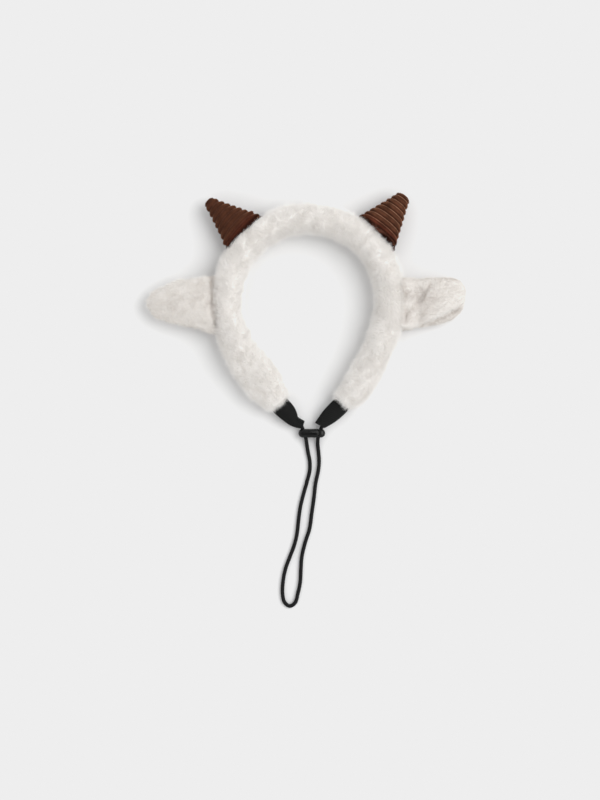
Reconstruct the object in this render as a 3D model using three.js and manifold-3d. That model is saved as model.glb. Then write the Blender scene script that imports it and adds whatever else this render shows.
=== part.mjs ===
// Sheep horns headband: a padded faux fur band with two corduroy horns and two plush ears.
// Ribbon tabs close the band's two ends, and an elastic cord runs from tab to tab through a
// two-hole cord lock. Millimetres, +Z up, lying flat on the band's underside.
import * as THREE from "three";
import { mergeVertices } from "three/addons/utils/BufferGeometryUtils.js";
import Module from "manifold-3d";

const wasm = await Module();
wasm.setup();

// Driving dimensions. Places in the tables are measured from the middle of the band's round part.
const seatGap = 0.3;
const ringPlace = new THREE.Vector3(2.25, 9.54, 0);

const band = { radius: 70, width: 25, height: 28, sides: 20, steps: 64, endRound: 3 };
// The underside is flat between these two angles below the section's sides.
const restAngle = Math.PI / 3;
// Legs from the round part down to the end: middle of the tube, then its width and height.
const leftLeg = [
  { x: -69.0, y: -13.0, width: 25.5, height: 28 },
  { x: -64.7, y: -28.0, width: 28, height: 28 },
  { x: -57.4, y: -45.0, width: 31, height: 27 },
  { x: -47.6, y: -59.0, width: 34, height: 26 },
  { x: -36.4, y: -74.0, width: 33, height: 25 },
  { x: -26.0, y: -88.0, width: 22, height: 22 },
];
const rightLeg = [
  { x: 69.0, y: -13.0, width: 25, height: 28 },
  { x: 65.6, y: -25.0, width: 25, height: 28 },
  { x: 58.7, y: -43.0, width: 25, height: 27 },
  { x: 50.1, y: -60.5, width: 26, height: 26 },
  { x: 40.7, y: -76.0, width: 25, height: 25 },
  { x: 31.0, y: -86.5, width: 21, height: 22 },
];
const arcRows = 13;
const endCapAngles = [0.4, 0.8, 1.2];

const horn = { halfHeight: 10.5, apex: 51.4, tipRound: 6, rise: 13.5, rootDepth: 10, sides: 20 };
const wale = { pitch: 4.8, depth: 0.9, shoulders: [0, 0.3, 0.7] };
const tipAngles = [0.25, 0.55, 0.85, 1.15, 1.4];
const horns = [
  { name: "horn_left", x: -55.3, y: 58.6, heading: 138.4, length: 41.4, halfWidth: 20 },
  { name: "horn_right", x: 60.8, y: 59.2, heading: 52.8, length: 38, halfWidth: 18.6 },
];

// Left ear, a flat padded leaf: its two edges, the height of its middle, its thickness and its arch.
const leftEar = [
  { x: -70, upper: 22.5, lower: -29, middle: 13, thickness: 11, arch: 3 },
  { x: -82, upper: 22.5, lower: -30.5, middle: 13, thickness: 11, arch: 3 },
  { x: -95, upper: 20.5, lower: -26.5, middle: 13, thickness: 11, arch: 3.5 },
  { x: -110, upper: 18, lower: -23, middle: 12.5, thickness: 11, arch: 3 },
  { x: -123, upper: 14.5, lower: -19.5, middle: 12, thickness: 10, arch: 2 },
  { x: -132, upper: 9.5, lower: -15.5, middle: 11.5, thickness: 9, arch: 1 },
  { x: -137, upper: 4.5, lower: -10.5, middle: 11, thickness: 6.5, arch: 0.4 },
  { x: -139, upper: 0.5, lower: -6.5, middle: 11, thickness: 3, arch: 0.1 },
];
// Right ear, folded along its upper edge: the fold, the free edges of its two flaps, how deep the
// slit between them runs, and the height of the folded stack over its underside.
const rightEar = [
  { x: 70, fold: 18, topEdge: -24, underEdge: -25, slit: 0.8, bottom: 4, stack: 17 },
  { x: 84, fold: 18.9, topEdge: -25, underEdge: -26.5, slit: 0.8, bottom: 4, stack: 17 },
  { x: 94, fold: 18.9, topEdge: -22.5, underEdge: -24.5, slit: 1.5, bottom: 4, stack: 14 },
  { x: 104, fold: 19, topEdge: -18.5, underEdge: -22.6, slit: 5, bottom: 4, stack: 16.5 },
  { x: 117, fold: 19, topEdge: -12.2, underEdge: -20, slit: 12, bottom: 3.5, stack: 17 },
  { x: 126, fold: 18, topEdge: -7.5, underEdge: -15.5, slit: 11, bottom: 3.5, stack: 15.5 },
  { x: 131.5, fold: 15, topEdge: -5, underEdge: -10, slit: 6, bottom: 4.5, stack: 12 },
  { x: 134.5, fold: 9, topEdge: -1.5, underEdge: -4, slit: 2, bottom: 6.5, stack: 7 },
];
const slitShare = 0.12;
const earSteps = 18;
const leafSides = 20;
const flapCurve = 4;
const foldCurve = 8;

// Ribbon tabs from the band's ends down to the cord: middle of the ribbon and its width.
const ribbonThickness = 1.6;
const tabSteps = 8;
const tabs = [
  {
    name: "tab_left",
    startWidth: 16.5,
    rows: [
      { x: -17.0, y: -99.6, z: 9.5, width: 13.5 },
      { x: -10.8, y: -104.2, z: 7.2, width: 9.5 },
      { x: -5.4, y: -106.4, z: 5.4, width: 7.5 },
    ],
  },
  {
    name: "tab_right",
    startWidth: 15.5,
    rows: [
      { x: 21.5, y: -96.4, z: 10, width: 15.2 },
      { x: 14.3, y: -103.6, z: 7.6, width: 12.5 },
      { x: 10.4, y: -106.9, z: 5.4, width: 8 },
    ],
  },
];

const lock = { x: 3, y: -114.3, z: 4.4, length: 23.6, depth: 7.5, height: 8.5, boreOffset: 5.6, bore: 4.6 };
const lockSides = 20;
const lockCapSteps = 6;
const boreSides = 16;
const boreReach = 20;

const cordDiameter = 3;
const cordSides = 8;
const cordSteps = 80;
const floorZ = cordDiameter / 2;
// Cord route from the left tab through the lock, round the free loop and back to the right tab.
const cordRoute = [
  [-4.4, -107.5, 5.3],
  [-2.7, -110.6, 4.5],
  [-2.6, -114.3, 4.4],
  [-2.4, -118.2, 4.2],
  [-1.4, -124.0, 2.6],
  [-0.3, -131.0, floorZ],
  [1.2, -139.0, floorZ],
  [1.1, -146.5, floorZ],
  [-1.3, -156.4, floorZ],
  [-4.4, -167.4, floorZ],
  [-6.8, -177.1, floorZ],
  [-8.4, -188.1, floorZ],
  [-9.9, -201.2, floorZ],
  [-12.3, -211.1, floorZ],
  [-16.0, -220.9, floorZ],
  [-19.6, -230.7, floorZ],
  [-21.8, -241.5, floorZ],
  [-22.3, -253.0, floorZ],
  [-20.6, -260.0, floorZ],
  [-16.0, -263.4, floorZ],
  [-11.4, -260.4, floorZ],
  [-9.2, -253.0, floorZ],
  [-7.1, -242.8, floorZ],
  [-6.5, -231.8, floorZ],
  [-5.7, -220.9, floorZ],
  [-2.9, -208.9, floorZ],
  [0.9, -196.9, floorZ],
  [2.8, -183.8, floorZ],
  [4.7, -170.6, floorZ],
  [6.2, -157.5, floorZ],
  [8.3, -147.7, floorZ],
  [9.2, -139.5, floorZ],
  [9.1, -131.0, floorZ],
  [8.6, -124.0, 2.6],
  [8.5, -118.2, 4.2],
  [8.6, -114.3, 4.4],
  [8.7, -110.6, 4.5],
  [9.9, -107.8, 5.3],
];

const finishes = {
  fur: new THREE.MeshStandardMaterial({ color: 0xe8e4de, roughness: 0.95, metalness: 0 }),
  corduroy: new THREE.MeshStandardMaterial({ color: 0x5b3425, roughness: 0.9, metalness: 0 }),
  ribbon: new THREE.MeshStandardMaterial({ color: 0x1d1d1f, roughness: 0.75, metalness: 0 }),
  elastic: new THREE.MeshStandardMaterial({ color: 0x202022, roughness: 0.8, metalness: 0 }),
  plastic: new THREE.MeshStandardMaterial({ color: 0x18181b, roughness: 0.4, metalness: 0 }),
};

const up = new THREE.Vector3(0, 0, 1);

// A frame whose third axis follows the travel direction, with its second axis rising.
function frameAt(place, travel) {
  const forward = travel.clone().normalize();
  const across = new THREE.Vector3().crossVectors(up, forward).normalize();
  const rise = new THREE.Vector3().crossVectors(forward, across);
  return new THREE.Matrix4().makeBasis(across, rise, forward).setPosition(place);
}

// A smooth run through the rows of a table: place, direction and the named columns at each step.
function runThrough(rows, columns, steps) {
  const places = rows.map((row) => new THREE.Vector3(row.x, row.y ?? 0, row.z ?? 0));
  const path = new THREE.CatmullRomCurve3(places);
  const curves = columns.map((name) => {
    const values = rows.map((row) => new THREE.Vector3(row[name], 0, 0));
    return new THREE.CatmullRomCurve3(values, false, "catmullrom");
  });
  return Array.from({ length: steps + 1 }, (_, i) => {
    const t = path.getUtoTmapping(i / steps);
    const sizes = columns.map((name, c) => [name, curves[c].getPoint(t).x]);
    return { place: path.getPoint(t), travel: path.getTangent(t), ...Object.fromEntries(sizes) };
  });
}

// A closed skin over a row of like sections, each placed by its frame, with flat ends.
function loft(sections, frames) {
  const count = sections[0].length;
  const last = (sections.length - 1) * count;
  const points = sections.flatMap((section, i) =>
    section.map((p) => new THREE.Vector3(p.x, p.y, 0).applyMatrix4(frames[i])),
  );
  const index = [];
  for (let start = 0; start < last; start += count) {
    for (let j = 0; j < count; j++) {
      const a = start + j;
      const b = start + ((j + 1) % count);
      index.push(a, b, b + count, a, b + count, a + count);
    }
  }
  for (const [a, b, c] of THREE.ShapeUtils.triangulateShape(sections[0], [])) {
    index.push(c, b, a);
  }
  for (const [a, b, c] of THREE.ShapeUtils.triangulateShape(sections.at(-1), [])) {
    index.push(last + a, last + b, last + c);
  }
  const geometry = new THREE.BufferGeometry().setFromPoints(points);
  geometry.setIndex(index);
  return geometry;
}

function solidOf(geometry) {
  const bare = geometry.clone();
  bare.deleteAttribute("normal");
  bare.deleteAttribute("uv");
  const merged = mergeVertices(bare);
  return new wasm.Manifold(
    new wasm.Mesh({
      numProp: 3,
      vertProperties: Float32Array.from(merged.attributes.position.array),
      triVerts: Uint32Array.from(merged.index.array),
    }),
  );
}

function geometryOf(solid) {
  const mesh = solid.getMesh();
  const geometry = new THREE.BufferGeometry();
  geometry.setAttribute("position", new THREE.BufferAttribute(mesh.vertProperties, 3));
  geometry.setIndex(new THREE.BufferAttribute(mesh.triVerts, 1));
  return geometry;
}

// One piece with the others cut away from it.
function cutBy(geometry, ...cutters) {
  const left = cutters.reduce((solid, cutter) => solid.subtract(solidOf(cutter)), solidOf(geometry));
  return geometryOf(left);
}

function bandRows() {
  const arc = Array.from({ length: arcRows }, (_, i) => {
    const angle = Math.PI * (1 - i / (arcRows - 1));
    const x = band.radius * Math.cos(angle);
    const y = band.radius * Math.sin(angle);
    return { x, y, width: band.width, height: band.height };
  });
  return [...leftLeg.toReversed(), ...arc, ...rightLeg];
}

const bandRun = runThrough(bandRows(), ["width", "height"], band.steps);

// Rounded section of the tube, flat below, shrunk about its own middle by the given scale.
function bandSection({ width, height }, scale, grow) {
  const halfHeight = height / (1 + Math.sin(restAngle));
  return Array.from({ length: band.sides }, (_, i) => {
    const angle = (2 * Math.PI * i) / band.sides;
    const across = (width / 2 + grow) * Math.cos(angle);
    const rise = Math.max(0, halfHeight * (Math.sin(angle) + Math.sin(restAngle)));
    const z = height / 2 + (rise - height / 2) * scale + grow * Math.sin(angle);
    return new THREE.Vector2(across * scale, z);
  });
}

// The band with its two rounded ends. Grown a little, it cuts the seats of what is sewn to it.
function bandGeometry(grow = 0) {
  const first = bandRun[0];
  const final = bandRun.at(-1);
  const capAt = (station, side, angle) => ({
    ...station,
    place: station.place.clone().addScaledVector(station.travel, side * band.endRound * Math.sin(angle)),
    scale: 1 - ((1 - Math.cos(angle)) * band.endRound) / (station.width / 2),
  });
  const stations = [
    ...endCapAngles.toReversed().map((angle) => capAt(first, -1, angle)),
    ...bandRun.map((station) => ({ ...station, scale: 1 })),
    ...endCapAngles.map((angle) => capAt(final, 1, angle)),
  ];
  return loft(
    stations.map((station) => bandSection(station, station.scale, grow)),
    stations.map((station) => frameAt(station.place, station.travel)),
  );
}

// Middle of a band end's flat face and the way it points.
function bandEnd(side) {
  const station = side < 0 ? bandRun[0] : bandRun.at(-1);
  const outward = station.travel.clone().multiplyScalar(side);
  const reach = band.endRound * Math.sin(endCapAngles.at(-1));
  const place = station.place.clone().addScaledVector(outward, reach);
  return { place: place.setZ(station.height / 2), outward };
}

// Distances along a horn's axis, three to each wale, with how far each lies down in its valley.
function hornStations(length) {
  const bodyEnd = length - horn.tipRound;
  const wales = Math.floor((bodyEnd + horn.rootDepth) / wale.pitch);
  const start = bodyEnd - wales * wale.pitch;
  const stations = [];
  for (let i = 0; i < wales; i++) {
    for (const share of wale.shoulders) {
      const along = start + (i + share) * wale.pitch;
      stations.push({ along, valley: share === 0 ? wale.depth : 0, shrink: 1 });
    }
  }
  stations.push({ along: bodyEnd, valley: wale.depth, shrink: 1 });
  for (const angle of tipAngles) {
    stations.push({ along: bodyEnd + horn.tipRound * Math.sin(angle), valley: 0, shrink: Math.cos(angle) });
  }
  return stations;
}

function hornSection({ along, valley, shrink }, { length, halfWidth: baseWidth }) {
  const body = Math.min(along, length - horn.tipRound);
  const taper = 1 - body / horn.apex;
  const roundness = THREE.MathUtils.lerp(horn.halfHeight / baseWidth, 1, Math.max(0, body) / length);
  const halfWidth = (baseWidth * taper - valley) * shrink;
  const halfHeight = (baseWidth * taper * roundness - valley) * shrink;
  return Array.from({ length: horn.sides }, (_, i) => {
    const angle = (2 * Math.PI * i) / horn.sides;
    return new THREE.Vector2(halfWidth * Math.cos(angle), halfHeight * Math.sin(angle));
  });
}

function hornGeometry(shape, seat) {
  const turn = THREE.MathUtils.degToRad(shape.heading);
  const travel = new THREE.Vector3(Math.cos(turn), Math.sin(turn), 0);
  const base = new THREE.Vector3(shape.x, shape.y, horn.rise);
  const stations = hornStations(shape.length);
  const cone = loft(
    stations.map((station) => hornSection(station, shape)),
    stations.map(({ along }) => frameAt(base.clone().addScaledVector(travel, along), travel)),
  );
  return cutBy(cone, seat);
}

function leafSection({ upper, lower, middle, thickness, arch }) {
  const centre = (upper + lower) / 2;
  const reach = (upper - lower) / 2;
  return Array.from({ length: leafSides }, (_, i) => {
    const angle = (2 * Math.PI * i) / leafSides;
    const across = Math.cos(angle);
    const crown = arch * (1 - across * across);
    return new THREE.Vector2(reach * across - centre, middle + crown + (thickness / 2) * Math.sin(angle));
  });
}

function leftEarGeometry(seat) {
  const run = runThrough(leftEar, ["upper", "lower", "middle", "thickness", "arch"], earSteps);
  return cutBy(
    loft(
      run.map(leafSection),
      run.map(({ place, travel }) => frameAt(place, travel)),
    ),
    seat,
  );
}

// Points of a half circle or part of one, from one angle to another.
function arcPoints(x, y, radius, from, to, steps) {
  return Array.from({ length: steps + 1 }, (_, i) => {
    const angle = from + ((to - from) * i) / steps;
    return new THREE.Vector2(x + radius * Math.cos(angle), y + radius * Math.sin(angle));
  });
}

// Two flaps joined at a round fold, with an open slit between them.
function foldSection({ fold, topEdge, underEdge, slit, bottom, stack }) {
  const opening = stack * slitShare;
  const flap = (stack - opening) / 2;
  const half = flap / 2;
  const quarter = Math.PI / 2;
  const underMiddle = bottom + half;
  const topMiddle = bottom + stack - half;
  const slitEnd = topEdge + half + slit;
  return [
    ...arcPoints(underEdge + half, underMiddle, half, quarter, 3 * quarter, flapCurve),
    ...arcPoints(fold - stack / 2, bottom + stack / 2, stack / 2, -quarter, quarter, foldCurve),
    ...arcPoints(topEdge + half, topMiddle, half, quarter, 3 * quarter, flapCurve),
    ...arcPoints(slitEnd, bottom + stack / 2, opening / 2, quarter, -quarter, flapCurve),
  ];
}

function rightEarGeometry(seat) {
  const columns = ["fold", "topEdge", "underEdge", "slit", "bottom", "stack"];
  const run = runThrough(rightEar, columns, earSteps);
  return cutBy(
    loft(
      run.map(foldSection),
      run.map(({ place, travel }) => frameAt(place, travel)),
    ),
    seat,
  );
}

function ribbonSection({ width }) {
  const x = width / 2;
  const y = ribbonThickness / 2;
  return [
    new THREE.Vector2(-x, -y),
    new THREE.Vector2(x, -y),
    new THREE.Vector2(x, y),
    new THREE.Vector2(-x, y),
  ];
}

function tabGeometry({ startWidth, rows }, side) {
  const { place, outward } = bandEnd(side);
  const start = place.addScaledVector(outward, seatGap);
  const run = runThrough([{ ...start, width: startWidth }, ...rows], ["width"], tabSteps);
  run[0].travel = outward;
  return loft(
    run.map(ribbonSection),
    run.map(({ place: middle, travel }) => frameAt(middle, travel)),
  );
}

function lockGeometry() {
  const radius = lock.depth / 2;
  const body = new THREE.CapsuleGeometry(radius, lock.length - lock.depth, lockCapSteps, lockSides);
  body.rotateZ(Math.PI / 2);
  body.scale(1, 1, lock.height / lock.depth);
  const bores = [-lock.boreOffset, lock.boreOffset].map((offset) => {
    const bore = new THREE.CylinderGeometry(lock.bore / 2, lock.bore / 2, boreReach, boreSides);
    return bore.translate(offset, 0, 0);
  });
  return cutBy(body, ...bores).translate(lock.x, lock.y, lock.z);
}

function cordGeometry() {
  const route = new THREE.CatmullRomCurve3(cordRoute.map((point) => new THREE.Vector3(...point)));
  const section = new THREE.Shape(arcPoints(0, 0, cordDiameter / 2, 0, 2 * Math.PI, cordSides).slice(1));
  return new THREE.ExtrudeGeometry(section, { steps: cordSteps, extrudePath: route });
}

function addPiece(group, name, geometry, material) {
  const piece = new THREE.Mesh(geometry, material.clone());
  piece.name = name;
  group.add(piece);
}

const headband = new THREE.Group();
headband.position.copy(ringPlace);
const seat = bandGeometry(seatGap);
addPiece(headband, "band", bandGeometry(), finishes.fur);
for (const each of horns) {
  addPiece(headband, each.name, hornGeometry(each, seat), finishes.corduroy);
}
addPiece(headband, "ear_left", leftEarGeometry(seat), finishes.fur);
addPiece(headband, "ear_right", rightEarGeometry(seat), finishes.fur);
tabs.forEach((tab, i) => addPiece(headband, tab.name, tabGeometry(tab, i === 0 ? -1 : 1), finishes.ribbon));
addPiece(headband, "cord_lock", lockGeometry(), finishes.plastic);
addPiece(headband, "cord", cordGeometry(), finishes.elastic);

export default headband;
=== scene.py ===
"""Looks of a sheep horns headband.

A padded band and two plush ears wear a pile of fur strands, two stuffed horns wear wide-wale corduroy,
and ribbon tabs hold an elastic cord with its sliding lock. Sizes are in millimetres, measured from the
middle of the band's round part, and become metres where a mesh is made.
"""

import logging
import math
from dataclasses import dataclass, field
from enum import Enum
from typing import Callable, Sequence

import bmesh
import bpy
import numpy as np
from bmesh.types import BMesh
from bpy.types import Material, Mesh, Node, NodeSocket, Object
from mathutils import Matrix, Vector
from mathutils.bvhtree import BVHTree
from mathutils.kdtree import KDTree


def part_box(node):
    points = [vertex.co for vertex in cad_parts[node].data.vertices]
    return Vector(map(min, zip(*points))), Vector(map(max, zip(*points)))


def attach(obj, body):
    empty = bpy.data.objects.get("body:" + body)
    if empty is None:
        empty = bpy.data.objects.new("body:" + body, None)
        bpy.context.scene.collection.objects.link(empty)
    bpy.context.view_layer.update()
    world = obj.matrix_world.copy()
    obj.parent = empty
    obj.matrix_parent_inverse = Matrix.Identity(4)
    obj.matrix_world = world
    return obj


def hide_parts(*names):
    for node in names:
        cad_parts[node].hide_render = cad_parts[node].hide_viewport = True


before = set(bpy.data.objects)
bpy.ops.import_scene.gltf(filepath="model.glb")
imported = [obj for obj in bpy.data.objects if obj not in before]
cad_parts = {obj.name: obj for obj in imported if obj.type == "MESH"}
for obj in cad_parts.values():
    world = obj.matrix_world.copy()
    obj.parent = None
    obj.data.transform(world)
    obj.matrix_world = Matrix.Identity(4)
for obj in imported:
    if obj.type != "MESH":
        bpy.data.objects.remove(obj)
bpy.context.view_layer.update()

log = logging.getLogger("headband")

MM = 0.001
BODY = "root"
BAND_OUTSIDE = 82.5
FLOOR_CLEARANCE = 0.25
MERGE_REACH = 1e-6
TINY = 1e-9
UP = (0.0, 0.0, 1.0)

Colour = tuple[float, float, float]
Stops = tuple[tuple[float, Colour], ...]
Pair = tuple[float, float]
Place = Callable[[float, float], Sequence[float]]


class Slot(Enum):
    """The record's material slots."""

    FUR = "fur"
    CORDUROY = "corduroy"
    RIBBON = "ribbon"
    ELASTIC = "elastic"
    LOCK = "lock"


class Side(Enum):
    """The two sides of the headband as it lies."""

    LEFT = "left"
    RIGHT = "right"


class Chart(Enum):
    """Names of the surface charts that patterns follow."""

    STRAND = "OFBake"
    WALES = "Wales"
    WEAVE = "Weave"
    BRAID = "Braid"


# Shared helpers


def ring_middle() -> np.ndarray:
    """Middle of the band's round part on the floor, in millimetres in the frame."""
    low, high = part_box("band")
    return np.array(((low.x + high.x) / 2 / MM, high.y / MM - BAND_OUTSIDE, 0.0))


RING = ring_middle()


def in_frame(points: np.ndarray) -> np.ndarray:
    """Points measured from the ring's middle in millimetres, as metres in the frame."""
    return (np.asarray(points, float) + RING) * MM


def from_ring(points: np.ndarray) -> np.ndarray:
    """Points in metres in the frame, as millimetres from the ring's middle."""
    return np.asarray(points, float) / MM - RING


def unit(vectors: np.ndarray) -> np.ndarray:
    """Each row made one unit long."""
    lengths = np.linalg.norm(vectors, axis=-1, keepdims=True)
    return vectors / np.maximum(lengths, TINY)


def along_skin(ways: np.ndarray, normals: np.ndarray) -> np.ndarray:
    """Each way laid along the skin that has the normals, one unit long."""
    return unit(ways - (ways * normals).sum(axis=1, keepdims=True) * normals)


def grey(level: float) -> Colour:
    """A colour without a hue."""
    return (level, level, level)


def run_lengths(rows: np.ndarray, power: float = 1.0) -> np.ndarray:
    """How far each row of a run lies from its start, with every step's length raised to a power."""
    steps = np.linalg.norm(np.diff(rows, axis=0), axis=1) ** power
    return np.concatenate([[0.0], np.cumsum(steps)])


def between(at: np.ndarray, start: float, end: float, first: np.ndarray, second: np.ndarray) -> np.ndarray:
    """Rows on the straight way from one row to another, by where numbers lie from start to end."""
    return ((end - at) * first + (at - start) * second) / (end - start)


def smooth_run(rows: np.ndarray, count: int) -> np.ndarray:
    """Evenly spaced points on a smooth curve through a table's rows.

    Args:
        rows: The rows that the curve passes through, with any number of columns.
        count: How many points to give.

    Returns:
        The points, one to a row, on a centripetal Catmull-Rom curve.
    """
    fine_steps = 40
    rows = np.asarray(rows, float)
    ends = np.vstack([2 * rows[0] - rows[1], rows, 2 * rows[-1] - rows[-2]])
    knots = run_lengths(ends, power=0.5)
    pieces = []
    for i in range(len(rows) - 1):
        p, t = ends[i : i + 4], knots[i : i + 4]
        s = np.linspace(t[1], t[2], fine_steps, endpoint=False)[:, None]
        first = [between(s, t[k], t[k + 1], p[k], p[k + 1]) for k in range(3)]
        second = [between(s, t[k], t[k + 2], first[k], first[k + 1]) for k in range(2)]
        pieces.append(between(s, t[1], t[2], second[0], second[1]))
    dense = np.vstack([*pieces, rows[-1:]])
    reach = run_lengths(dense)
    at = np.linspace(0.0, reach[-1], count)
    return np.column_stack([np.interp(at, reach, column) for column in dense.T])


def laid_grid(columns: int, rows: int, place: Place, chart: Place, chart_name: Chart) -> BMesh:
    """A flat grid laid onto a surface.

    Args:
        columns: Faces across the grid.
        rows: Faces along the grid.
        place: Gives a point in metres for the shares across and along.
        chart: Gives the chart's two coordinates for the same shares.
        chart_name: The chart to keep them in.

    Returns:
        The laid grid, with its edges still open.
    """
    bm = bmesh.new()
    layer = bm.loops.layers.uv.new(chart_name.value)
    bmesh.ops.create_grid(bm, x_segments=columns, y_segments=rows, size=0.5)
    shares = {vert: (vert.co.x + 0.5, vert.co.y + 0.5) for vert in bm.verts}
    for face in bm.faces:
        face.smooth = True
        for loop in face.loops:
            loop[layer].uv = chart(*shares[loop.vert])
    for vert, spot in shares.items():
        vert.co = place(*spot)
    return bm


def close_tube(bm: BMesh) -> None:
    """Joins a rolled grid's seam, closes its open ends with fans and turns its faces outwards.

    Args:
        bm: The rolled grid.
    """
    bmesh.ops.remove_doubles(bm, verts=bm.verts, dist=MERGE_REACH)
    rim = [edge for edge in bm.edges if edge.is_boundary]
    caps = bmesh.ops.holes_fill(bm, edges=rim, sides=0)["faces"]
    bmesh.ops.poke(bm, faces=caps)
    bmesh.ops.recalc_face_normals(bm, faces=bm.faces)


def mesh_from(name: str, bm: BMesh) -> Mesh:
    """A mesh of a finished bmesh, which is freed.

    Args:
        name: The mesh's name.
        bm: The finished bmesh.

    Returns:
        The mesh.
    """
    mesh = bpy.data.meshes.new(name)
    bm.to_mesh(mesh)
    bm.free()
    return mesh


def wear(mesh: Mesh, material: Material) -> None:
    """Makes a material the only one of a mesh."""
    mesh.materials.clear()
    mesh.materials.append(material)


def piece_of(name: str, mesh: Mesh) -> Object:
    """A scene object for a mesh.

    Args:
        name: The piece's name.
        mesh: Its mesh.

    Returns:
        The piece, in the scene.
    """
    piece = bpy.data.objects.new(name, mesh)
    bpy.context.scene.collection.objects.link(piece)
    return piece


def piece_from(name: str, bm: BMesh, material: Material) -> Object:
    """A scene object for a finished bmesh, wearing a material.

    Args:
        name: The piece's name.
        bm: The finished bmesh, which is freed.
        material: The piece's finish.

    Returns:
        The piece, in the scene.
    """
    mesh = mesh_from(name, bm)
    wear(mesh, material)
    return piece_of(name, mesh)


def evaluated_mesh(piece: Object) -> Mesh:
    """A new mesh of the piece as its modifiers leave it."""
    graph = bpy.context.evaluated_depsgraph_get()
    return bpy.data.meshes.new_from_object(piece.evaluated_get(graph))


def apply_modifiers(piece: Object) -> None:
    """Makes the modifiers' result the piece's own mesh.

    Args:
        piece: The piece, which loses its modifiers.
    """
    made = evaluated_mesh(piece)
    old = piece.data
    piece.modifiers.clear()
    piece.data = made
    bpy.data.meshes.remove(old)


def triples(items: bpy.types.bpy_prop_collection, key: str, kind: type = float) -> np.ndarray:
    """Three numbers from each item of a mesh.

    Args:
        items: The mesh's vertices, normals or triangles.
        key: What the three numbers are called there.
        kind: Their type.

    Returns:
        The numbers, one item to a row.
    """
    flat = np.zeros(len(items) * 3, kind)
    items.foreach_get(key, flat)
    return flat.reshape(-1, 3)


def corners(mesh: Mesh) -> np.ndarray:
    """The mesh's vertices as rows."""
    return triples(mesh.vertices, "co")


def vertex_normals(mesh: Mesh) -> np.ndarray:
    """The mesh's vertex normals as rows."""
    return triples(mesh.vertex_normals, "vector")


def seat(piece: Object, slot: Slot, *nodes: str) -> Object:
    """Lets a piece ride on the headband, and hides the nodes that it stands for.

    Args:
        piece: The finished piece.
        slot: Its material slot; not used.
        nodes: The nodes that it replaces.

    Returns:
        The same piece.
    """
    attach(piece, BODY)
    if nodes:
        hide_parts(*nodes)
    log.info("%s: %d faces", piece.name, len(piece.data.polygons))
    return piece


# Finishes


@dataclass(frozen=True)
class Grain:
    """A fine unevenness: how dense and detailed its noise is, and how strong and deep its bumps are."""

    scale: float
    detail: float
    strength: float
    depth: float


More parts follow.
